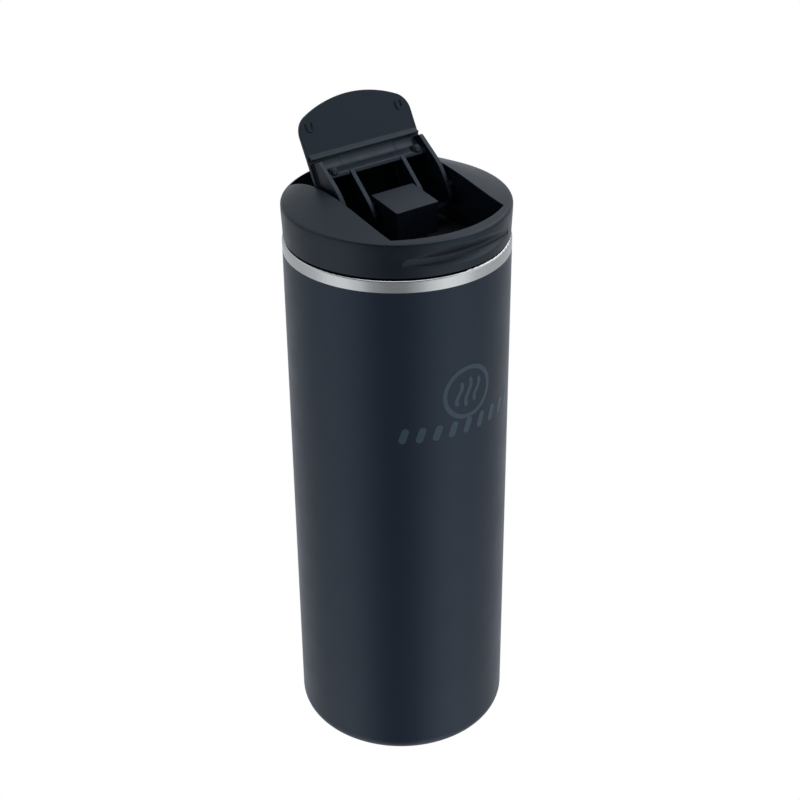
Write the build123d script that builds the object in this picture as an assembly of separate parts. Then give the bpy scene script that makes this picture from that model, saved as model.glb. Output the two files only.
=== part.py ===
from build123d import *
from math import cos, radians, sin
import os

# Insulated travel mug: a double-walled steel cup with a screw-in lid, a flip-up flap and a
# stopper that the flap drives. Millimetres, +Z up, origin at the centre of the base, the
# drinking side towards -Y, the flap's hinge along X. The flap is drawn open.

# Vessel
BODY_R = 36.5
SHELL_WALL = 0.6
SHELL_TOP = 180.3
RIM_TOP = 184.2
RIM_ROUND = 0.8
CORNER_R = 4.9
BASE_RING_R = 30.4
BASE_RECESS = 0.9
SHELL_FLOOR = 2.6
LINER_R = 33.0
LINER_WALL = 0.5
CUP_FLOOR = 8.0
CUP_CORNER_R = 6.0
FLARE_START = 181.0
FLARE_TOP_R = 34.9

# Lid thread: two starts, right-handed
THREAD_LEAD = 8.0
THREAD_STARTS = 2
THREAD_TURN = 270.0
THREAD_FOOT = 1.1
THREAD_CREST = 0.5
PLUG_R = 31.2
MALE_CREST_R = 32.5
FEMALE_CREST_R = 31.9
MALE_START_Z = 171.9
FEMALE_START_Z = MALE_START_Z + THREAD_LEAD / THREAD_STARTS / 2

# Lid cover
SKIRT_BOTTOM = 184.7
SKIRT_R = 36.1
SKIRT_INNER_R = 34.6
DECK_Z = 187.0
LID_RIM_Z = 196.0
LID_EDGE_R = 1.3
DOME_RISE = 6.9
DOME_TILT = 0.19
COVER_WALL = 2.0
SLOT_HALF = 21.85
SLOT_FRONT_Y = -32.4
SLOT_FRONT_R = 40.5
SLOT_BACK_R = 35.0
SLOT_WALL = 1.8
LOBE_R = 34.3
SCOOP_DEPTH = 2.3
SCOOP_HALF = 20.4
SCOOP_ARC_R = 50.0
SCOOP_FLOOR = 188.7
SCOOP_BOTTOM = 186.95
SCOOP_TOP = 194.9

# Lid core
PLUG_BOTTOM = 170.0
PLUG_BORE_R = 28.9
WELL_FLOOR = 182.4
FLOOR_WALL = 1.5
FLANGE_R = 34.4
GROOVE_R = 30.3
GROOVE_BOTTOM = 182.5
SEAL_GAP = 0.08
GASKET_R = 32.7
FLOW_Y = -4.25
FLOW_R = 5.5
COLLAR_R = 7.0
COLLAR_BOTTOM = 176.0
VENT_Y = 20.0
VENT_R = 0.8

# Flap, in its own plane: across, along towards the tip, and depth below its underside
OPEN_ANGLE = 61.0
HINGE_Y = 1.36
HINGE_Z = 194.5
HINGE_BACK = 20.75
HINGE_DEPTH = 7.0
FLAP_HALF = 21.4
FLAP_TIP = 16.3
FLAP_TAIL = 27.3
FLAP_TIP_R = 40.5
FLAP_CORNER_R = 6.5
PLATE = 1.0
CROWN = 1.6
CROWN_R = 200.0
WALL_INSET = 0.9
WALL = 1.5
LEDGE = 1.8
LEDGE_RISE = 1.2
ARM_IN = 9.1
ARM_OUT = 10.6
ARM_START = 7.4
ARM_RISE = 4.3
RAMP_START = 4.6
RAMP_ROUND = 4.0
WINDOW_HALF = 9.0
PIN_R = 1.25
PIN_FIT = 0.05
PIN_END = 0.5
PIN_OUT = 25.2
SCREW_X = 16.2
SCREW_BACK = 7.0
BOSS_R = 1.6

# Side views of the flap's walls and arms: distance from the ledge, height, rounding
WALL_TOP = [(2.6, 3.5, 1.2), (13.5, 8.9, 20.0), (21.4, 10.1, 15.0), (27.3, 9.4, 4.0)]
ARM_TOP = [(ARM_START, ARM_RISE, 0.7), (20.0, 8.9, 20.0), (27.0, 10.3, 4.0)]

# Stopper
FLAP_SWING = 127.0
STROKE = 2.0
CAM_ECCENTRIC = STROKE / 2 / sin(radians(FLAP_SWING / 2))
CAM_R = 0.7
CAM_CLEARANCE = 0.16
CAM_TIP = 7.25
CAM_SLOT_DEPTH = 1.1
CAP_HALF = 8.1
CAP_FRONT = -10.9
CAP_BACK = 2.4
CAP_TOP_FRONT = 196.2
CAP_TOP_BACK = 198.1
CAP_WALL = 1.8
SEAL_R = 6.9
SEAL_THICK = 1.5
STEM_R = 1.6
STEM_FIT = 0.05
STEM_TOP = 192.0
STEM_BOTTOM = 175.4
RETAINER_R = 4.6
RETAINER_THICK = 1.15
CLIP_R = 2.9
CLIP_THICK = 0.6
SEAL_BOTTOM = WELL_FLOOR + STROKE + 0.05
CAP_BOTTOM = SEAL_BOTTOM + SEAL_THICK

BIG = 60.0


def flat_shape(corners):
    """Closed face from (across, up) corners; a third number rounds that corner."""
    points = [(corner[0], corner[1]) for corner in corners]
    radii = [corner[2] if len(corner) > 2 else 0 for corner in corners]
    if any(radii):
        return make_face(FilletPolyline(*points, radius=radii, close=True))
    return make_face(Polyline(*points, close=True))


def turned(*corners):
    """Solid turned about the mug's axis from the (radius, height) corners of its section."""
    return revolve(Plane.XZ * flat_shape(corners), Axis.Z)


def block(low, high):
    """Box between two opposite corners."""
    size = [high[i] - low[i] for i in range(3)]
    centre = [(high[i] + low[i]) / 2 for i in range(3)]
    return Pos(*centre) * Box(*size)


def rod(radius, low, high, x=0, y=0):
    """Upright cylinder between two heights."""
    return Pos(x, y, (low + high) / 2) * Cylinder(radius, high - low)


def cross_rod(radius, x_low, x_high, y, z):
    """Cylinder along X between two places."""
    return Pos((x_low + x_high) / 2, y, z) * Rot(0, 90, 0) * Cylinder(radius, x_high - x_low)


def both_sides(solid):
    """A solid and its mirror image across the YZ plane, joined."""
    return solid + mirror(solid, Plane.YZ)


def ridge(start_z, foot_r, crest_r, turn_from):
    """One thread start: a trapezoid section carried up a helix."""
    mean_r = (foot_r + crest_r) / 2
    height = THREAD_LEAD * THREAD_TURN / 360
    path = Helix(THREAD_LEAD, height, mean_r)
    section_plane = Plane(origin=path @ 0, x_dir=(1, 0, 0), z_dir=path % 0)
    foot = foot_r - mean_r
    crest = crest_r - mean_r
    section = section_plane * flat_shape(
        [(foot, -THREAD_FOOT), (crest, -THREAD_CREST), (crest, THREAD_CREST), (foot, THREAD_FOOT)]
    )
    solid = sweep(section, path=path, is_frenet=True)
    return Pos(0, 0, start_z) * Rot(0, 0, turn_from) * solid


def thread(start_z, foot_r, crest_r):
    """All the starts of a thread."""
    starts = [ridge(start_z, foot_r, crest_r, i * 360 / THREAD_STARTS) for i in range(THREAD_STARTS)]
    return starts


# ---------------------------------------------------------------- vessel

def outer_shell():
    """Drawn steel tube with a rounded bottom corner and a turned-up ring in the base."""
    inner = BODY_R - SHELL_WALL
    lip = BASE_RING_R + SHELL_WALL
    return turned(
        (BODY_R, SHELL_TOP),
        (inner, SHELL_TOP),
        (inner, SHELL_WALL, CORNER_R - SHELL_WALL),
        (lip, SHELL_WALL),
        (lip, SHELL_FLOOR),
        (BASE_RING_R, SHELL_FLOOR),
        (BASE_RING_R, 0),
        (BODY_R, 0, CORNER_R),
    )


def shell_bottom():
    """Disc that closes the vacuum space, with a dimple for the sealing bead."""
    lip = BASE_RING_R + SHELL_WALL
    top = SHELL_FLOOR + SHELL_WALL
    return turned(
        (0, SHELL_FLOOR + 1.4),
        (4.0, SHELL_FLOOR + 1.4),
        (4.6, SHELL_FLOOR),
        (lip, SHELL_FLOOR),
        (lip, top),
        (5.0, top),
        (4.4, top + 1.4),
        (0, top + 1.4),
    )


def base_cap():
    """Cover disc pressed into the base ring, a little above the table."""
    edge = BASE_RING_R - 0.05
    return turned(
        (0, BASE_RECESS),
        (edge - 1.0, BASE_RECESS, 0.4),
        (edge, BASE_RECESS + 0.5),
        (edge, BASE_RECESS + 1.2),
        (edge - 0.6, BASE_RECESS + 1.2),
        (edge - 1.2, BASE_RECESS + 0.6),
        (0, BASE_RECESS + 0.6),
    )


def vacuum_plug():
    """Bead of solder glass that seals the evacuation hole."""
    bottom = SHELL_FLOOR + 0.2
    return turned((0, bottom), (2.0, bottom), (3.2, bottom + 0.5), (3.2, bottom + 1.2), (0, bottom + 1.2))


def getter():
    """Ring that takes up stray gas, fixed under the liner's floor."""
    top = CUP_FLOOR - LINER_WALL
    return turned((6.0, top - 0.7), (9.0, top - 0.7), (9.0, top), (6.0, top))


def inner_liner():
    """Cup drawn in steel, its mouth rolled out over the shell to make the bare rim."""
    outer = LINER_R + LINER_WALL
    cup = turned(
        (0, CUP_FLOOR),
        (LINER_R, CUP_FLOOR, CUP_CORNER_R),
        (LINER_R, FLARE_START, 3.0),
        (FLARE_TOP_R, RIM_TOP, 0.5),
        (BODY_R, RIM_TOP, RIM_ROUND),
        (BODY_R, SHELL_TOP),
        (BODY_R - SHELL_WALL, SHELL_TOP),
        (BODY_R - SHELL_WALL, SHELL_TOP + 0.8),
        (outer, FLARE_START - 2.0),
        (outer, CUP_FLOOR - LINER_WALL, CUP_CORNER_R + LINER_WALL),
        (0, CUP_FLOOR - LINER_WALL),
    )
    for start in thread(FEMALE_START_Z, LINER_R + 0.2, FEMALE_CREST_R):
        cup += start
    return cup


def radiation_foil():
    """Loose metal sleeve round the liner, inside the vacuum space."""
    inner = LINER_R + LINER_WALL + 0.3
    return turned((inner, 16), (inner + 0.2, 16), (inner + 0.2, 172), (inner, 172))


# ---------------------------------------------------------------- lid

def above_dome(drop):
    """Everything above the lid's domed top, lowered by drop.

    The height over the rim is (1 - r*r / R*R) * (rise + tilt * y): nothing at the edge, and
    higher towards the hinge side than towards the drinking side.
    """
    steps = [-44 + 11 * i for i in range(9)]
    grid = []
    for y in steps:
        row = []
        for x in steps:
            fall = 1 - (x * x + y * y) / BODY_R ** 2
            row.append((x, y, LID_RIM_Z - drop + fall * (DOME_RISE + DOME_TILT * y)))
        grid.append(row)
    return extrude(Face.make_surface_from_array_of_points(grid), amount=BIG, dir=(0, 0, 1))


def slot_prism(low, high):
    """The slot across the lid: straight sides, a flat arc in front and the rim's arc behind."""
    prism = block((-SLOT_HALF, -BIG, low), (SLOT_HALF, BIG, high))
    prism &= rod(SLOT_FRONT_R, low, high, y=SLOT_FRONT_Y + SLOT_FRONT_R)
    prism &= rod(SLOT_BACK_R, low, high)
    return prism


def scoop():
    """Hollow under the drinking edge, shallower towards its rounded ends, over a sloped ledge."""
    arc = SCOOP_ARC_R
    ledge_slope = (SCOOP_FLOOR - SCOOP_BOTTOM) / SCOOP_DEPTH
    section = flat_shape(
        [
            (arc, SCOOP_FLOOR),
            (arc + 6, SCOOP_FLOOR - 6 * ledge_slope),
            (arc + 6, SCOOP_FLOOR + 11.5),
            (arc + 0.3, SCOOP_FLOOR + 1.9, 2.0),
        ]
    )
    ring = Pos(0, SCOOP_ARC_R - BODY_R + SCOOP_DEPTH, 0) * revolve(Plane.XZ * section, Axis.Z)
    front_view = RectangleRounded(2 * SCOOP_HALF, SCOOP_TOP - SCOOP_BOTTOM, 2.4)
    middle = (SCOOP_TOP + SCOOP_BOTTOM) / 2
    front_plane = Plane(origin=(0, -10, middle), x_dir=(1, 0, 0), z_dir=(0, -1, 0))
    return ring & extrude(front_plane * front_view, amount=BIG)


def lid_cover():
    """Moulded top: a skirt and rim, two hollow side lobes, and the slot between them."""
    shell = turned(
        (SKIRT_INNER_R, SKIRT_BOTTOM),
        (SKIRT_R, SKIRT_BOTTOM, 0.4),
        (BODY_R, LID_RIM_Z - 2 * LID_EDGE_R),
        (BODY_R, LID_RIM_Z + 12),
        (0, LID_RIM_Z + 12),
        (0, DECK_Z),
        (SKIRT_INNER_R, DECK_Z),
    )
    shell -= above_dome(0)
    rim = [e for e in shell.edges() if abs(e.center().Z - LID_RIM_Z) < 0.3 and e.length > 100]
    shell = fillet(rim, LID_EDGE_R)
    lobes = rod(LOBE_R, DECK_Z, LID_RIM_Z + 12)
    lobes -= block((-SLOT_HALF - SLOT_WALL, -BIG, 0), (SLOT_HALF + SLOT_WALL, BIG, 2 * LID_RIM_Z))
    lobes -= above_dome(COVER_WALL)
    shell -= lobes
    shell += both_sides(cross_rod(2.6, SLOT_HALF, PIN_OUT + 0.8, HINGE_Y, HINGE_Z))
    shell -= slot_prism(DECK_Z - 1, LID_RIM_Z + 20)
    shell -= both_sides(cross_rod(PIN_R, SLOT_HALF - 1, PIN_OUT, HINGE_Y, HINGE_Z))
    return shell - scoop()


def lid_core():
    """Threaded plug that closes the mouth and carries the drinking well's floor."""
    core = turned(
        (0, PLUG_BOTTOM),
        (PLUG_R, PLUG_BOTTOM, 0.5),
        (PLUG_R, GROOVE_BOTTOM),
        (GROOVE_R, GROOVE_BOTTOM),
        (GROOVE_R, SKIRT_BOTTOM),
        (FLANGE_R, SKIRT_BOTTOM),
        (FLANGE_R, DECK_Z),
        (0, DECK_Z),
    )
    floor_bottom = WELL_FLOOR - FLOOR_WALL
    well = block((-SLOT_HALF, -BIG, WELL_FLOOR), (SLOT_HALF, BIG, DECK_Z + 1))
    well &= rod(PLUG_BORE_R, WELL_FLOOR, DECK_Z + 1)
    under = rod(PLUG_BORE_R, PLUG_BOTTOM - 1, floor_bottom)
    side_room = rod(PLUG_BORE_R, floor_bottom - 1, DECK_Z - 1.8)
    side_room -= block((-SLOT_HALF - SLOT_WALL, -BIG, 0), (SLOT_HALF + SLOT_WALL, BIG, 2 * DECK_Z))
    core = core - well - under - side_room
    core += rod(COLLAR_R, COLLAR_BOTTOM, floor_bottom + 0.5, y=FLOW_Y)
    core -= rod(FLOW_R, COLLAR_BOTTOM - 1, WELL_FLOOR + 1, y=FLOW_Y)
    core -= rod(VENT_R, floor_bottom - 1, WELL_FLOOR + 1, y=VENT_Y)
    for start in thread(MALE_START_Z, PLUG_R - 0.2, MALE_CREST_R):
        core += start
    return core


def lid_gasket():
    """Silicone ring in the groove under the flange, with a lip towards the steel mouth."""
    inner = GROOVE_R + SEAL_GAP
    low = GROOVE_BOTTOM + SEAL_GAP
    high = SKIRT_BOTTOM - SEAL_GAP
    return turned(
        (inner, low),
        (PLUG_R + 0.2, low),
        (GASKET_R, low + 0.9, 0.4),
        (GASKET_R, high, 0.5),
        (inner, high),
    )


def stem_guide():
    """Bush for the stem, held in the collar by three legs that let the drink past."""
    low = COLLAR_BOTTOM + 0.2
    high = low + 2.0
    ring = rod(FLOW_R, low, high) - rod(FLOW_R - 0.8, low - 1, high + 1)
    for i in range(3):
        ring += Rot(0, 0, 120 * i) * block((0, -0.6, low), (FLOW_R - 0.4, 0.6, high))
    ring += rod(2.8, low, high)
    ring -= rod(STEM_R + STEM_FIT, low - 1, high + 1)
    return Pos(0, FLOW_Y, 0) * ring


def hinge_pin(side):
    """Short steel pin, pressed into the slot's wall, that the flap's side wall turns on."""
    inner = FLAP_HALF - WALL_INSET - WALL + PIN_END
    x_low, x_high = sorted((side * inner, side * PIN_OUT))
    return cross_rod(PIN_R, x_low, x_high, HINGE_Y, HINGE_Z)


# ---------------------------------------------------------------- flap

def flap_plane():
    """The flap's underside when open: X across, Y towards the tip, Z out of the underside."""
    along = Vector(0, cos(radians(OPEN_ANGLE)), sin(radians(OPEN_ANGLE)))
    out = Vector(0, -sin(radians(OPEN_ANGLE)), cos(radians(OPEN_ANGLE)))
    hinge = Vector(0, HINGE_Y, HINGE_Z)
    return Plane(origin=hinge + along * HINGE_BACK - out * HINGE_DEPTH, x_dir=(1, 0, 0), z_dir=out)


def flap_outline(margin):
    """Straight sides, a square tail, and a tip on a wide arc with rounded corners."""
    half = FLAP_HALF - margin
    outline = Pos(0, (BIG - FLAP_TAIL) / 2 + margin / 2) * Rectangle(2 * half, BIG + FLAP_TAIL - margin)
    outline &= Pos(0, FLAP_TIP - FLAP_TIP_R) * Circle(FLAP_TIP_R - margin)
    corners = outline.vertices().sort_by(Axis.Y)[-2:]
    return fillet(corners, FLAP_CORNER_R)


def wall_side(top):
    """Side view of a wall, from its foot near the ledge round its top to its foot at the tail."""
    corners = [(-top[0][0], 0)]
    corners += [(-back, height, rounding) for back, height, rounding in top]
    corners += [(-top[-1][0], 0)]
    return flat_shape(corners)


def wall_pair(face, inner, outer):
    """A side view given thickness and placed at the same distance on both sides."""
    side_plane = Plane(origin=(inner, 0, 0), x_dir=(0, 1, 0), z_dir=(1, 0, 0))
    return both_sides(extrude(side_plane * face, amount=outer - inner))


def across(face, half):
    """A side view carried across the flap to the same distance on both sides."""
    side_plane = Plane(origin=(-half, 0, 0), x_dir=(0, 1, 0), z_dir=(1, 0, 0))
    return extrude(side_plane * face, amount=2 * half)


def ramp_side():
    """Side view of the ramp that climbs from behind the ledge to the height of the arms."""
    back = ARM_START + 1.6
    return flat_shape(
        [
            (-2.3, 0),
            (-2.3, 0.3),
            (-RAMP_START, 0.3, RAMP_ROUND),
            (-ARM_START - 0.2, ARM_RISE, 0.7),
            (-back, ARM_RISE, 0.5),
            (-back, 0),
        ]
    )


def flap_body():
    """Underside of the flap: plate, finger ledge, ramp, side walls, tail walls and bosses."""
    wall_out = FLAP_HALF - WALL_INSET
    wall_in = wall_out - WALL
    body = extrude(flap_outline(0), amount=-PLATE)
    pocket = block((ARM_OUT + 0.1, 1.6 - FLAP_TAIL, -PLATE - 1), (wall_in - 0.1, -ARM_START - 1.6, 1))
    body -= both_sides(pocket)
    ledge = flat_shape([(0.6, -0.4), (-1.2, LEDGE_RISE, 0.3), (-LEDGE, LEDGE_RISE, 0.3), (-LEDGE, -0.4)])
    body += across(ledge, wall_out + 0.4)
    body += wall_pair(wall_side(WALL_TOP), wall_in, wall_out)
    body += wall_pair(ramp_side(), ARM_OUT, wall_in + 0.2)
    body += both_sides(block((ARM_OUT + 0.2, -FLAP_TAIL, -0.2), (wall_in + 0.2, 1.5 - FLAP_TAIL, 7.0)))
    body += both_sides(rod(BOSS_R, -PLATE, ARM_RISE, x=SCREW_X, y=-SCREW_BACK))
    body -= block((-WINDOW_HALF, -FLAP_TAIL - 1, -2), (WINDOW_HALF, -ARM_START - 1.6, 1))
    body -= both_sides(rod(0.8, -PLATE - 1, ARM_RISE + 1, x=SCREW_X, y=-SCREW_BACK))
    pin_room = cross_rod(PIN_R + PIN_FIT, wall_in + PIN_END - 0.1, wall_out + 1, -HINGE_BACK, HINGE_DEPTH)
    body -= both_sides(pin_room)
    return flap_plane() * body


def flap_cover():
    """Outer skin of the flap, slightly crowned across."""
    skin = Pos(0, 0, -PLATE) * extrude(flap_outline(0.25), amount=-CROWN)
    arch = Pos(0, 0, CROWN_R - PLATE - CROWN) * Rot(90, 0, 0) * Cylinder(CROWN_R, 4 * BIG)
    skin &= arch
    skin -= both_sides(rod(0.75, -PLATE - 0.7, 0, x=SCREW_X, y=-SCREW_BACK))
    return flap_plane() * skin


def flap_yoke():
    """Frame that straddles the stopper's cap: a ramp up from the ledge, and two arms with cams."""
    yoke = wall_pair(wall_side(ARM_TOP), ARM_IN, ARM_OUT)
    yoke += across(ramp_side(), ARM_OUT)
    yoke = flap_plane() * yoke
    cam_angle = radians(180 - FLAP_SWING / 2)
    cam_y = HINGE_Y + CAM_ECCENTRIC * cos(cam_angle)
    cam_z = HINGE_Z + CAM_ECCENTRIC * sin(cam_angle)
    return yoke + both_sides(cross_rod(CAM_R, CAM_TIP, ARM_IN + 0.3, cam_y, cam_z))


def flap_screws():
    """Two small round-head pins that hold the skin to the underside."""
    foot = -PLATE - 0.5
    head = ARM_RISE
    screw = turned((0, foot), (0.7, foot), (0.7, head), (1.2, head), (1.2, head + 0.6, 0.5), (0, head + 0.6))
    pair = [Pos(side * SCREW_X, -SCREW_BACK, 0) * screw for side in (-1, 1)]
    return flap_plane() * Compound(children=pair)


# ---------------------------------------------------------------- stopper

def plunger_cap():
    """Hollow block between the flap's arms, its top sloping down to the drinking side."""
    side = flat_shape(
        [(CAP_FRONT, CAP_BOTTOM), (CAP_BACK, CAP_BOTTOM), (CAP_BACK, CAP_TOP_BACK), (CAP_FRONT, CAP_TOP_FRONT)]
    )
    side_plane = Plane(origin=(-CAP_HALF, 0, 0), x_dir=(0, 1, 0), z_dir=(1, 0, 0))
    cap = extrude(side_plane * side, amount=2 * CAP_HALF)
    cap = chamfer(cap.edges().filter_by(Axis.Z), 0.2)
    cap -= block(
        (CAP_WALL - CAP_HALF, CAP_FRONT + 1.5, CAP_BOTTOM - 1),
        (CAP_HALF - CAP_WALL, CAP_BACK - 1.5, CAP_TOP_FRONT - 2),
    )
    cap += rod(3.0, CAP_BOTTOM, CAP_TOP_FRONT - 1.5, y=FLOW_Y)
    cap -= rod(STEM_R, CAP_BOTTOM - 1, STEM_TOP, y=FLOW_Y)
    cam_height = HINGE_Z + STROKE / 2
    reach = CAM_R + CAM_CLEARANCE
    front = HINGE_Y - CAM_ECCENTRIC - reach
    back = HINGE_Y - CAM_ECCENTRIC * cos(radians(FLAP_SWING / 2)) + reach
    cap -= both_sides(
        block((CAP_HALF - CAM_SLOT_DEPTH, front, cam_height - reach), (CAP_HALF + 1, back, cam_height + reach))
    )
    return cap


def plunger_stem():
    """Steel rod moulded into the cap and sliding in the guide."""
    return rod(STEM_R, STEM_BOTTOM, STEM_TOP, y=FLOW_Y)


def washer(outer, inner, low, high):
    """Flat ring on the stopper's axis."""
    return Pos(0, FLOW_Y, 0) * turned((inner, low), (outer, low), (outer, high), (inner, high))


def stopper_seal():
    """Silicone disc that closes the flow hole."""
    return washer(SEAL_R, STEM_R, SEAL_BOTTOM, CAP_BOTTOM)


def seal_retainer():
    """Disc that backs the seal and enters the flow hole."""
    return washer(RETAINER_R, STEM_R, SEAL_BOTTOM - RETAINER_THICK, SEAL_BOTTOM)


def stem_clip():
    """Spring clip that holds the seal and its disc on the stem."""
    top = SEAL_BOTTOM - RETAINER_THICK
    return washer(CLIP_R, STEM_R, top - CLIP_THICK, top)


PARTS = {
    "outer_shell": outer_shell,
    "shell_bottom": shell_bottom,
    "base_cap": base_cap,
    "vacuum_plug": vacuum_plug,
    "getter": getter,
    "inner_liner": inner_liner,
    "radiation_foil": radiation_foil,
    "lid_cover": lid_cover,
    "lid_core": lid_core,
    "lid_gasket": lid_gasket,
    "stem_guide": stem_guide,
    "hinge_pin_left": lambda: hinge_pin(-1),
    "hinge_pin_right": lambda: hinge_pin(1),
    "flap_body": flap_body,
    "flap_cover": flap_cover,
    "flap_yoke": flap_yoke,
    "flap_screws": flap_screws,
    "plunger_cap": plunger_cap,
    "plunger_stem": plunger_stem,
    "stopper_seal": stopper_seal,
    "seal_retainer": seal_retainer,
    "stem_clip": stem_clip,
}

os.makedirs("parts", exist_ok=True)
for name, make in PARTS.items():
    solid = make()
    export_step(solid, f"parts/{name}.step")
    print(name, "solids", len(solid.solids()), "volume", round(solid.volume, 1))
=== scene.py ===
# %% [markdown]
# # An insulated travel mug
# The mug is a tall steel cup with two walls and a vacuum between them. The outside is powder
# coated, a bare steel rim shows at the mouth, and a moulded lid screws in. Across the lid runs
# a slot, and in it a flap stands open on two short pins. The mechanism comes from the
# engineering model, which is loaded first and never moved. This script gives every part its
# finish and adds the small parts the engineering model lacks: a printed mark and ejector marks.

# %% load the engineering model
import math
import bmesh
import bpy
import numpy as np
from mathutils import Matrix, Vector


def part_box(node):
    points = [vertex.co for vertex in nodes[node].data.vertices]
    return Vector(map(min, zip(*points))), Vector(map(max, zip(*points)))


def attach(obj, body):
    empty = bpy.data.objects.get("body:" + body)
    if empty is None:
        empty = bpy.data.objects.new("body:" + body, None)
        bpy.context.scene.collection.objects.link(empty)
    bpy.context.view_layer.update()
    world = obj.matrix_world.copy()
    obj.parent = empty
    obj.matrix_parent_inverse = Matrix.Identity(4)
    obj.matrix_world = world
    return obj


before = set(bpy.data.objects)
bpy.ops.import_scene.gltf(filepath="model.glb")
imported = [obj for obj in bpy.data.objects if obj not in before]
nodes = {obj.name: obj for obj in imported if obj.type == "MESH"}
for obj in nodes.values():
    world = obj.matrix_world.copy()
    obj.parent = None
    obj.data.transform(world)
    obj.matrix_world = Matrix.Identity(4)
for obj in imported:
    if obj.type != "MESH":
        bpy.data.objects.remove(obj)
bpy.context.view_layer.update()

# %% [markdown]
# ## Sizes that come from the model
# The radius, the height of the painted tube and the rim are read
# from the boxes of the nodes, so the drawn surfaces always land where the real parts are.

# %% sizes read from the nodes
MM = 0.001
body_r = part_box("outer_shell")[1].x
shell_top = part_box("outer_shell")[1].z
rim_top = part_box("inner_liner")[1].z
print("radius, paint line, rim (mm):", body_r / MM, shell_top / MM, rim_top / MM)


# %% [markdown]
# ## Four small helpers
# Colours are written as the sRGB hex values a designer would pick, and one function turns them
# into the linear light values that the renderer works with. Another adds a node, sets its
# sockets and makes its links. The third turns a grid of points into a smooth mesh. A last one
# gives a piece its only finish.

# %% colour, node and mesh helpers
SAME_POINT = 1e-7


def linear(code):
    """An sRGB hex colour as linear RGBA: (c + 0.055) / 1.055 to the power 2.4 above the toe."""
    value = np.array([int(code[i:i + 2], 16) / 255 for i in (1, 3, 5)])
    low = value / 12.92
    high = ((value + 0.055) / 1.055) ** 2.4
    return (*np.where(value <= 0.04045, low, high), 1.0)


def add_node(tree, kind, settings=None, **inputs):
    """Adds a node. settings are its properties; inputs are its sockets.

    A socket is given by name, with _ for a space, or by number, as _0 for the first.
    """
    node = tree.nodes.new(kind)
    for key, value in (settings or {}).items():
        setattr(node, key, value)
    for key, value in inputs.items():
        numbered = key[1:].isdigit()
        socket = node.inputs[int(key[1:]) if numbered else key.replace("_", " ")]
        if isinstance(value, bpy.types.NodeSocket):
            tree.links.new(value, socket)
        else:
            socket.default_value = value
    return node


def grid_mesh(name, points, wrap_u=False, wrap_v=False):
    """A quad mesh over a (u, v) grid of points.

    A wrapped direction joins its last row to its first.
    """
    nu, nv = points.shape[:2]
    u = np.arange(nu if wrap_u else nu - 1)[:, None]
    v = np.arange(nv if wrap_v else nv - 1)[None, :]
    u2, v2 = (u + 1) % nu, (v + 1) % nv
    quads = np.stack([u * nv + v, u2 * nv + v, u2 * nv + v2, u * nv + v2], -1).reshape(-1, 4)
    mesh = bpy.data.meshes.new(name)
    mesh.from_pydata(points.reshape(-1, 3).tolist(), [], quads.tolist())
    piece = bpy.data.objects.new(name, mesh)
    bpy.context.scene.collection.objects.link(piece)
    work = bmesh.new()
    work.from_mesh(mesh)
    bmesh.ops.remove_doubles(work, verts=work.verts, dist=SAME_POINT)
    bmesh.ops.dissolve_degenerate(work, edges=work.edges, dist=SAME_POINT)
    bmesh.ops.recalc_face_normals(work, faces=work.faces)
    work.to_mesh(mesh)
    work.free()
    mesh.shade_smooth()
    print(name, len(mesh.polygons), "faces")
    return piece


def paint(piece, finish):
    """Makes a finish the only material of a piece."""
    piece.data.materials.clear()
    piece.data.materials.append(finish)


# %% [markdown]
# ## The camera
# A short telephoto stands about 46 cm from the mug, looks down by thirty degrees and sees the
# drinking side from its left. Its place is given as a surveyor would note it down: distance
# along the floor, bearing, height, and the tilt of the head.

# %% camera
scene = bpy.context.scene
CAMERA_DISTANCE = 0.4571
CAMERA_BEARING = math.radians(233.24)
CAMERA_HEIGHT = 0.3829
CAMERA_HEADING = math.radians(53.19)
CAMERA_TILT = math.radians(29.62)
CAMERA_ROLL = math.radians(-0.594)
CAMERA_LENS = 70.35
SENSOR_WIDTH = 36

camera_data = bpy.data.cameras.new("camera")
camera_data.lens = CAMERA_LENS
camera_data.sensor_width = SENSOR_WIDTH
camera_data.clip_start = 0.01
camera = bpy.data.objects.new("camera", camera_data)
scene.collection.objects.link(camera)
camera.location = (
    CAMERA_DISTANCE * math.cos(CAMERA_BEARING),
    CAMERA_DISTANCE * math.sin(CAMERA_BEARING),
    CAMERA_HEIGHT,
)
ahead = Vector((
    math.cos(CAMERA_HEADING) * math.cos(CAMERA_TILT),
    math.sin(CAMERA_HEADING) * math.cos(CAMERA_TILT),
    -math.sin(CAMERA_TILT),
))
level = Vector((math.sin(CAMERA_HEADING), -math.cos(CAMERA_HEADING), 0))
right = level * math.cos(CAMERA_ROLL) + level.cross(ahead) * math.sin(CAMERA_ROLL)
up = right.cross(ahead)
camera.rotation_euler = Matrix((right, up, -ahead)).transposed().to_euler()
scene.camera = camera
print("camera at (m):", tuple(camera.location))


# %% [markdown]
# ## The stage
# A dark satin cylinder shows its roundness only through what it mirrors. So the studio is drawn
# as a tent of light round the mug: dim towards the camera, where a black card would stand, with
# a tall bright panel on each side, and softer again behind. Seen straight on, a wall that stands
# upright mirrors the tent at twice its own turn, so the bright panels land near the two edges
# of the mug and the middle stays deep. The camera itself sees plain white.

# %% a tent of light
scene.view_settings.view_transform = "Standard"

world = bpy.data.worlds.new("studio")
world.use_nodes = True
scene.world = world
sky = world.node_tree
sky.nodes.clear()


def along(tree, direction, axis):
    """How far a direction points along an axis: the dot product of the two."""
    return add_node(tree, "ShaderNodeVectorMath", {"operation": "DOT_PRODUCT"},
                    _0=direction, _1=axis).outputs["Value"]


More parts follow.
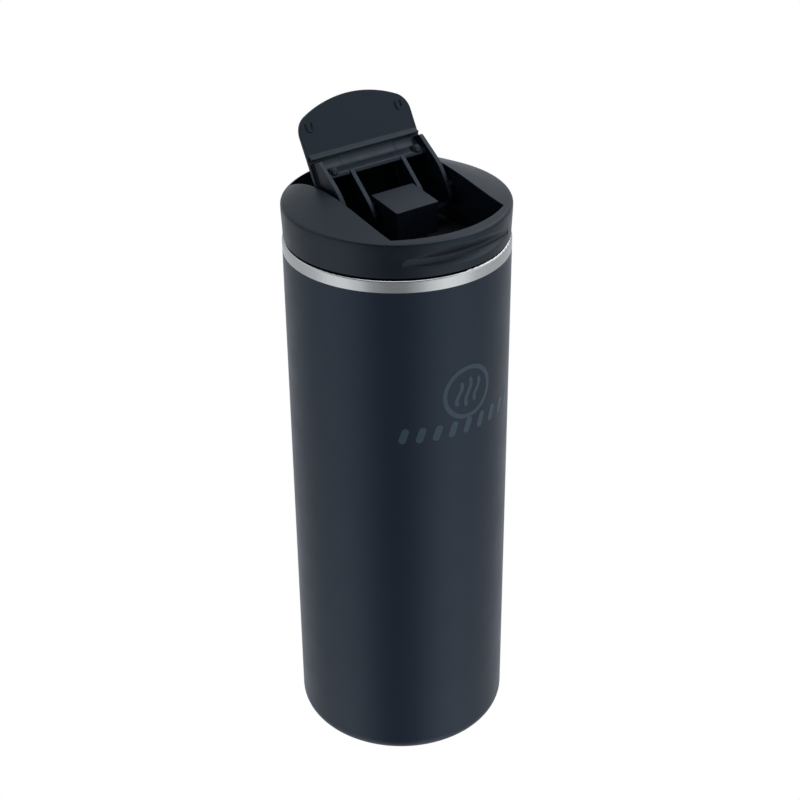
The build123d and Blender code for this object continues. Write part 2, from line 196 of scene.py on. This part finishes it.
def ramp(tree, value, stops, interpolation="EASE"):
    """A grey Color Ramp from (place, brightness) stops."""
    node = add_node(tree, "ShaderNodeValToRGB", Fac=value)
    node.color_ramp.interpolation = interpolation
    keys = node.color_ramp.elements
    while len(keys) < len(stops):
        keys.new(0.5)
    for key, (place, grey) in zip(keys, sorted(stops)):
        key.position = place
        key.color = (grey, grey, grey, 1)
    return node.outputs["Color"]


# Degrees round from the camera, minus to its left, and the tent's brightness there.
PANELS = (
    (-180, 0.60), (-112, 0.54), (-90, 0.60), (-74, 0.88), (-56, 0.95), (-40, 0.76),
    (-24, 0.36), (-8, 0.25), (8, 0.26), (20, 0.46), (34, 0.82), (50, 1.05), (66, 1.00),
    (86, 0.60), (110, 0.52), (180, 0.60),
)
OVERHEAD = (
    (-180, 0.64), (-110, 0.80), (-60, 0.15), (0, 0.05), (55, 0.30), (100, 1.60),
    (135, 2.00), (180, 0.58),
)
# How steeply a ray climbs, as the height of its direction, where one part gives way to the next.
WALLS_TO_ROOF = (0.32, 0.62)
ROOF_TO_ZENITH = (0.84, 0.94)
ZENITH = (1.5, 1.5, 1.5, 1)
COOL_LIGHT = (0.95, 1.0, 1.07, 1)


def tent_turn(degrees):
    """Where a bearing lies on a ramp that runs once round the tent."""
    return 0.5 + degrees / 360


toward = (math.cos(CAMERA_BEARING), math.sin(CAMERA_BEARING), 0)
rightward = (-toward[1], toward[0], 0)
gaze = add_node(sky, "ShaderNodeTexCoord").outputs["Generated"]
turn = add_node(sky, "ShaderNodeMath", {"operation": "ARCTAN2"},
                _0=along(sky, gaze, rightward), _1=along(sky, gaze, toward)).outputs[0]
round_trip = add_node(sky, "ShaderNodeMath", {"operation": "MULTIPLY_ADD"},
                      _0=turn, _1=0.5 / math.pi, _2=0.5).outputs[0]
sides, above = (
    ramp(sky, round_trip, [(tent_turn(degrees), grey) for degrees, grey in stops])
    for stops in (PANELS, OVERHEAD)
)
climb_up, overhead = (
    add_node(sky, "ShaderNodeMapRange", {"interpolation_type": "SMOOTHSTEP"},
             Value=along(sky, gaze, (0, 0, 1)), From_Min=start, From_Max=end).outputs["Result"]
    for start, end in (WALLS_TO_ROOF, ROOF_TO_ZENITH)
)
tent = add_node(sky, "ShaderNodeMix", {"data_type": "RGBA"},
                Factor=climb_up, A=sides, B=above).outputs["Result"]
tent = add_node(sky, "ShaderNodeMix", {"data_type": "RGBA"},
                Factor=overhead, A=tent, B=ZENITH).outputs["Result"]
cool = add_node(sky, "ShaderNodeMix", {"data_type": "RGBA", "blend_type": "MULTIPLY"},
                Factor=1.0, A=tent, B=COOL_LIGHT).outputs["Result"]
glow = add_node(sky, "ShaderNodeBackground", Color=cool, Strength=1.0).outputs[0]
white = add_node(sky, "ShaderNodeBackground", Color=(1, 1, 1, 1), Strength=1.0).outputs[0]
seen = add_node(sky, "ShaderNodeLightPath").outputs["Is Camera Ray"]
backdrop = add_node(sky, "ShaderNodeMixShader", Fac=seen, _1=glow, _2=white).outputs[0]
add_node(sky, "ShaderNodeOutputWorld", Surface=backdrop)
print("tent panels:", len(PANELS))

# %% [markdown]
# ## Finishes
# Each finish starts from what the real material is, and adds the two things that flat colours
# lack: a fine relief, and a sheen that isn't the same everywhere. All patterns are laid out on
# Object coordinates, which are metres in the mug's own frame, so a scale is one over a size.

# %% what all finishes share
COOL_TINT = linear("#DDF0FF")


def new_material(name, code, roughness, metallic=0.0):
    """An empty principled material; returns it with its node tree, shader and coordinates."""
    material = bpy.data.materials.new(name)
    material.use_nodes = True
    tree = material.node_tree
    shader = tree.nodes["Principled BSDF"]
    shader.inputs["Base Color"].default_value = linear(code)
    shader.inputs["Roughness"].default_value = roughness
    shader.inputs["Metallic"].default_value = metallic
    shader.inputs["Specular Tint"].default_value = (1, 1, 1, 1) if metallic else COOL_TINT
    return material, tree, shader, add_node(tree, "ShaderNodeTexCoord").outputs["Object"]


def noise(tree, place, size, detail=2.0, stretch=(1, 1, 1)):
    """Noise with features of about the given size in metres.

    Features are longer along an axis where stretch is below 1.
    """
    scaled = add_node(tree, "ShaderNodeMapping", Vector=place, Scale=stretch).outputs[0]
    return add_node(tree, "ShaderNodeTexNoise", Vector=scaled, Scale=1 / size,
                    Detail=detail).outputs["Fac"]


def vary(tree, socket, value, low, high):
    """Drives a socket between two values by a noise."""
    spread = add_node(tree, "ShaderNodeMapRange", Value=value, From_Min=0.3, From_Max=0.7,
                      To_Min=low, To_Max=high).outputs["Result"]
    tree.links.new(spread, socket)


def relief(tree, shader, height, depth, edge=0.0):
    """A bump of the given depth in metres, on edges softened to the given radius."""
    bump = add_node(tree, "ShaderNodeBump", Strength=1.0, Distance=depth, Height=height)
    if edge:
        soft = add_node(tree, "ShaderNodeBevel", {"samples": 6}, Radius=edge).outputs["Normal"]
        tree.links.new(soft, bump.inputs["Normal"])
    tree.links.new(bump.outputs["Normal"], shader.inputs["Normal"])


def two_tones(tree, shader, value, first, second):
    """A base colour that wanders between two near tones."""
    tone = add_node(tree, "ShaderNodeMix", {"data_type": "RGBA"},
                    Factor=value, A=linear(first), B=linear(second)).outputs["Result"]
    tree.links.new(tone, shader.inputs["Base Color"])


# %% [markdown]
# ### Powder coat
# The body is sprayed with polyester powder and baked. The grains fuse into a fine orange peel,
# which is a shallow noise here, and the mark's ink lies on the same skin and shares its relief.

# %% powder coat and the ink on it
def powder_coat(name, first, second):
    """Polyester powder baked on steel: satin, with the fine orange peel of fused grains."""
    material, tree, shader, place = new_material(name, first, 0.38)
    relief(tree, shader, noise(tree, place, 0.7 * MM, 2.0), 0.012 * MM)
    vary(tree, shader.inputs["Roughness"], noise(tree, place, 9 * MM, 3.0), 0.35, 0.41)
    two_tones(tree, shader, noise(tree, place, 0.5 * MM, 1.0), first, second)
    shader.inputs["Specular IOR Level"].default_value = 0.42
    shader.inputs["Sheen Weight"].default_value = 0.16
    shader.inputs["Sheen Roughness"].default_value = 0.25
    return material


coat = powder_coat("powder coat", "#0E1826", "#121C2B")
print_coat = powder_coat("pad print", "#33434E", "#374853")
print("coats:", coat.name, print_coat.name)

# %% [markdown]
# ### Moulded plastic
# The lid and flap are ABS from a tool that was spark eroded, so they are satin. A Bevel node
# softens the shading of their edges, as a mould does, and the mesh stays as it is.

# %% moulded plastic
EDGE_SOFTNESS = 0.4 * MM


def satin_abs(name, first, second, roughness):
    """Moulded ABS off a spark-eroded tool: satin, a fine even texture, a few rubbed patches."""
    material, tree, shader, place = new_material(name, first, roughness)
    relief(tree, shader, noise(tree, place, 0.25 * MM, 3.0), 0.008 * MM, EDGE_SOFTNESS)
    rubbed = noise(tree, place, 5 * MM, 4.0)
    vary(tree, shader.inputs["Roughness"], rubbed, roughness - 0.05, roughness + 0.04)
    two_tones(tree, shader, noise(tree, place, 3 * MM, 2.0), first, second)
    shader.inputs["Specular IOR Level"].default_value = 0.4
    return material


lid_abs = satin_abs("lid ABS", "#090F17", "#0C121B", 0.36)
core_abs = satin_abs("core ABS", "#08090B", "#0B0C0F", 0.5)
print("plastics:", lid_abs.name, core_abs.name)

# %% [markdown]
# ### Steel
# The rim is turned on a lathe, which leaves level rings. They are far finer than can be seen,
# so they are drawn a little coarser, and they smear the highlights up and down.

# %% steel
def turned_steel(name, code, roughness):
    """Stainless steel off a lathe: fine level rings that smear the highlights up and down."""
    material, tree, shader, place = new_material(name, code, roughness, 1.0)
    rings = noise(tree, place, 0.12 * MM, 2.0, (0.01, 0.01, 1))
    relief(tree, shader, rings, 0.002 * MM)
    vary(tree, shader.inputs["Roughness"], rings, roughness - 0.06, roughness + 0.08)
    return material


rim_steel = turned_steel("turned steel", "#CCCCC9", 0.2)
sheet_steel = turned_steel("drawn steel", "#B9B7B3", 0.32)
print("steels:", rim_steel.name, sheet_steel.name)

# %% [markdown]
# ### Seals and the parts inside the wall
# These hardly show, but an opened mug would show them: dusty silicone, creased foil, a bead of
# glass solder and a ring of pressed powder. Each is one noise or one cell pattern.

# %% rubber, foil, glass and getter
def silicone_rubber():
    """Silicone: matt and a little dusty, because it holds lint."""
    material, tree, shader, place = new_material("silicone", "#1B1D20", 0.62)
    dust = noise(tree, place, 0.6 * MM, 4.0)
    relief(tree, shader, dust, 0.02 * MM)
    vary(tree, shader.inputs["Roughness"], dust, 0.55, 0.75)
    two_tones(tree, shader, dust, "#17191C", "#24272B")
    return material


def crinkled_foil():
    """Copper-bright foil, creased where it was wrapped by hand."""
    material, tree, shader, place = new_material("foil", "#C98F6A", 0.22, 1.0)
    creases = add_node(tree, "ShaderNodeTexVoronoi", {"feature": "DISTANCE_TO_EDGE"}, Vector=place,
                       Scale=1 / (6 * MM)).outputs["Distance"]
    relief(tree, shader, creases, 0.4 * MM)
    return material


def solder_glass():
    """A bead of melted glass solder: dark, glossy and a little wavy."""
    material, tree, shader, place = new_material("solder glass", "#2A2E2B", 0.12)
    relief(tree, shader, noise(tree, place, 1.2 * MM), 0.05 * MM)
    return material


def sintered_getter():
    """Pressed getter powder: a dull grey metal with an open grain."""
    material, tree, shader, place = new_material("sintered getter", "#6E6B66", 0.6, 1.0)
    grain = noise(tree, place, 0.15 * MM, 4.0)
    relief(tree, shader, grain, 0.03 * MM)
    vary(tree, shader.inputs["Roughness"], grain, 0.5, 0.75)
    return material


silicone = silicone_rubber()
print("seals:", silicone.name)

# %% [markdown]
# ### Which part gets which finish
# Every node of the model is named once, with its finish.

# %% finishes on the nodes
finishes = {
    "outer_shell": coat, "inner_liner": rim_steel,
    "base_cap": sheet_steel, "shell_bottom": sheet_steel,
    "vacuum_plug": solder_glass(), "getter": sintered_getter(), "radiation_foil": crinkled_foil(),
    "lid_cover": lid_abs, "lid_core": core_abs, "lid_gasket": silicone, "stem_guide": core_abs,
    "hinge_pin_left": sheet_steel, "hinge_pin_right": sheet_steel,
    "flap_body": lid_abs, "flap_cover": lid_abs, "flap_yoke": lid_abs, "flap_screws": lid_abs,
    "plunger_cap": lid_abs, "plunger_stem": sheet_steel, "stopper_seal": silicone,
    "seal_retainer": core_abs, "stem_clip": sheet_steel,
}
for name, finish in finishes.items():
    paint(nodes[name], finish)
print("finished nodes:", len(finishes), "of", len(nodes))

# %% [markdown]
# ## The printed mark
# A tone-on-tone mark sits on the drinking side: here a plain ring with three wisps of steam in
# it, over a row of slanted dashes. Each stroke is a thin ribbon wrapped round the body: across
# is measured along the skin, so the angle is the arc length over the radius, and every ribbon
# ends in a half circle because its width follows a circle's height there.

# %% strokes wrapped round the body
PRINT = 0.03 * MM
THINNEST = 0.001 * MM


def on_skin(across, height):
    """A point of the flat drawing laid on the body: angle = arc length / radius, from -Y."""
    angle = across / body_r
    reach = body_r + PRINT
    return np.stack([reach * np.sin(angle), -reach * np.cos(angle), height], -1)


def stroke(across, height, width, closed=False):
    """A ribbon along a centre line: each side is the line plus or minus half a width.

    The half width is laid off along the line's normal.
    """
    line = np.stack([across, height], -1)
    if closed:
        lead = np.roll(line, -1, 0) - np.roll(line, 1, 0)
    else:
        lead = np.gradient(line, axis=0)
    normal = np.stack([-lead[:, 1], lead[:, 0]], -1)
    normal /= np.linalg.norm(normal, axis=1, keepdims=True)
    half = np.full(len(line), width / 2)
    if not closed:
        run = np.concatenate([[0], np.cumsum(np.linalg.norm(np.diff(line, axis=0), axis=1))])
        near_end = np.clip(np.minimum(run, run[-1] - run) / (width / 2), 0, 1)
        half = half * np.sqrt(1 - (1 - near_end) ** 2) + THINNEST
    rows = np.linspace(-1, 1, 5)[None, :, None]
    flat = line[:, None, :] + rows * (normal * half[:, None])[:, None, :]
    return on_skin(flat[..., 0], flat[..., 1])


def joined(name, pieces, finish):
    """Several meshes made one object with one finish."""
    with bpy.context.temp_override(active_object=pieces[0], selected_editable_objects=pieces):
        bpy.ops.object.join()
    pieces[0].name = name
    paint(pieces[0], finish)
    return pieces[0]


MARK_HEIGHT = 142.5 * MM
BAR_HEIGHT = 130.5 * MM
RING_R, RING_WIDTH = 8.6 * MM, 1.5 * MM
WISP_WIDTH, WISP_SWING = 1.4 * MM, 1.0 * MM
WISPS = ((-3.4, 4.0), (0, 5.0), (3.4, 4.0))
DASH_WIDTH, DASH_LEAN, DASH_HALF = 2.4 * MM, 0.9 * MM, 2.7 * MM

full_turn = np.linspace(0, 2 * np.pi, 96, endpoint=False)
ring = stroke(RING_R * np.cos(full_turn), MARK_HEIGHT + RING_R * np.sin(full_turn),
              RING_WIDTH, closed=True)
strokes = [grid_mesh("mark_ring", ring, wrap_u=True)]
climb = np.linspace(-1, 1, 60)
for middle, tall in WISPS:
    wave = middle * MM + WISP_SWING * np.sin(2.6 * climb)
    wisp = stroke(wave, MARK_HEIGHT + tall * MM * climb, WISP_WIDTH)
    strokes.append(grid_mesh("mark_wisp", wisp))
for middle in np.linspace(-22, 22, 9):
    dash = stroke(middle * MM + DASH_LEAN * climb, BAR_HEIGHT + DASH_HALF * climb, DASH_WIDTH)
    strokes.append(grid_mesh("mark_dash", dash))
mark = joined("printed_mark", strokes, print_coat)
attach(mark, "mug")
print("printed mark:", len(mark.data.polygons), "faces")

# %% [markdown]
# ## Ejector marks on the flap
# Two small U-shaped ridges stand near the corners of the flap's tip, where the mould's ejectors
# pushed. A ridge is a round tube of radius a along a U: two straight legs and a half circle.

# %% ejector marks
OPEN_ANGLE = math.radians(61)
HINGE = np.array([0, 1.36, 194.5]) * MM
TIP_WAY = np.array([0, math.cos(OPEN_ANGLE), math.sin(OPEN_ANGLE)])
FACE_WAY = np.array([0, -math.sin(OPEN_ANGLE), math.cos(OPEN_ANGLE)])
HINGE_TO_LEDGE = 20.75 * MM
HINGE_OVER_FACE = 7 * MM
LEDGE_LINE = HINGE + HINGE_TO_LEDGE * TIP_WAY - HINGE_OVER_FACE * FACE_WAY
LEG, BEND_R, TUBE_R, PROUD = 1.6, 1.1, 0.32 * MM, 0.05 * MM


def on_flap(across, tipward, off):
    """A point given across the flap, from the ledge towards the tip, and off its underside."""
    spot = np.asarray(across)[..., None] * np.array([1.0, 0, 0])
    up_face = np.asarray(tipward)[..., None] * TIP_WAY
    return LEDGE_LINE + spot + up_face + np.asarray(off)[..., None] * FACE_WAY


def ejector_mark(centre, tipward):
    """A U of half-round ridge: legs 1.6 mm long, 2.2 mm apart, joined by a half circle."""
    bend = np.linspace(np.pi, 2 * np.pi, 15)
    leg = np.linspace(LEG, 0.1, 6)
    straight = np.full(len(leg), BEND_R)
    u = np.concatenate([-straight, BEND_R * np.cos(bend), straight]) * MM
    v = np.concatenate([leg, BEND_R * np.sin(bend), leg[::-1]]) * MM
    lead = np.gradient(np.stack([u, v], -1), axis=0)
    lead /= np.linalg.norm(lead, axis=1, keepdims=True)
    ring = np.linspace(0, 2 * np.pi, 12, endpoint=False)
    side = TUBE_R * np.cos(ring)[None, :]
    off = PROUD + TUBE_R * np.sin(ring)[None, :]
    across = centre + u[:, None] - side * lead[:, 1:]
    return on_flap(across, tipward + v[:, None] + side * lead[:, :1], off + 0 * u[:, None])


MARK_ACROSS, MARK_TIPWARD = 17.3 * MM, 8.3 * MM
marks = [
    grid_mesh("ejector", ejector_mark(side * MARK_ACROSS, MARK_TIPWARD), wrap_v=True)
    for side in (-1, 1)
]
marks = joined("ejector_marks", marks, lid_abs)
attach(marks, "flap")

# %% [markdown]
# ## Painted shade inside the flap's skin
# The outer skin closes the flap's pockets from behind. Its inner face lies deep in the pockets
# and gets a painted shade: near black, with its reflection turned down, standing in for the
# shadow there. It is the same moulding, so one material does both: it measures how far a point
# lies off the flap's underside, the dot product with the face's direction, and turns to the
# painted shade on the inside.

# %% painted shade on the skin's inner face
SKIN_MIDDLE = -1.05 * MM
skin_abs_with_painted_shade = lid_abs.copy()
skin_abs_with_painted_shade.name = "flap skin ABS, painted shade inside"
tree = skin_abs_with_painted_shade.node_tree
shader = tree.nodes["Principled BSDF"]
place = add_node(tree, "ShaderNodeTexCoord").outputs["Object"]
face_level = float(LEDGE_LINE @ FACE_WAY)
off_face = add_node(tree, "ShaderNodeMath", {"operation": "SUBTRACT"},
                    _0=along(tree, place, tuple(FACE_WAY)), _1=face_level).outputs[0]
# marks the skin's inner face, which gets the painted shade
inside = add_node(tree, "ShaderNodeMath", {"operation": "GREATER_THAN"},
                  _0=off_face, _1=SKIN_MIDDLE).outputs[0]
# painted shade: the inner face's reflection is turned down and its surface roughened
for socket, outer, inner in (("Specular IOR Level", 0.4, 0.05), ("Roughness", 0.36, 0.9)):
    pick = add_node(tree, "ShaderNodeMapRange", Value=inside, To_Min=outer,
                    To_Max=inner).outputs["Result"]
    tree.links.new(pick, shader.inputs[socket])
old_colour = shader.inputs["Base Color"].links[0].from_socket
# painted shade: the inner face is coloured near black in place of the shadow deep in the pockets
painted_shade_colour = add_node(tree, "ShaderNodeMix", {"data_type": "RGBA"},
                     Factor=inside, A=old_colour, B=linear("#020304")).outputs["Result"]
tree.links.new(painted_shade_colour, shader.inputs["Base Color"])
paint(nodes["flap_cover"], skin_abs_with_painted_shade)
print("skin turns black", SKIN_MIDDLE / MM, "mm off the underside")
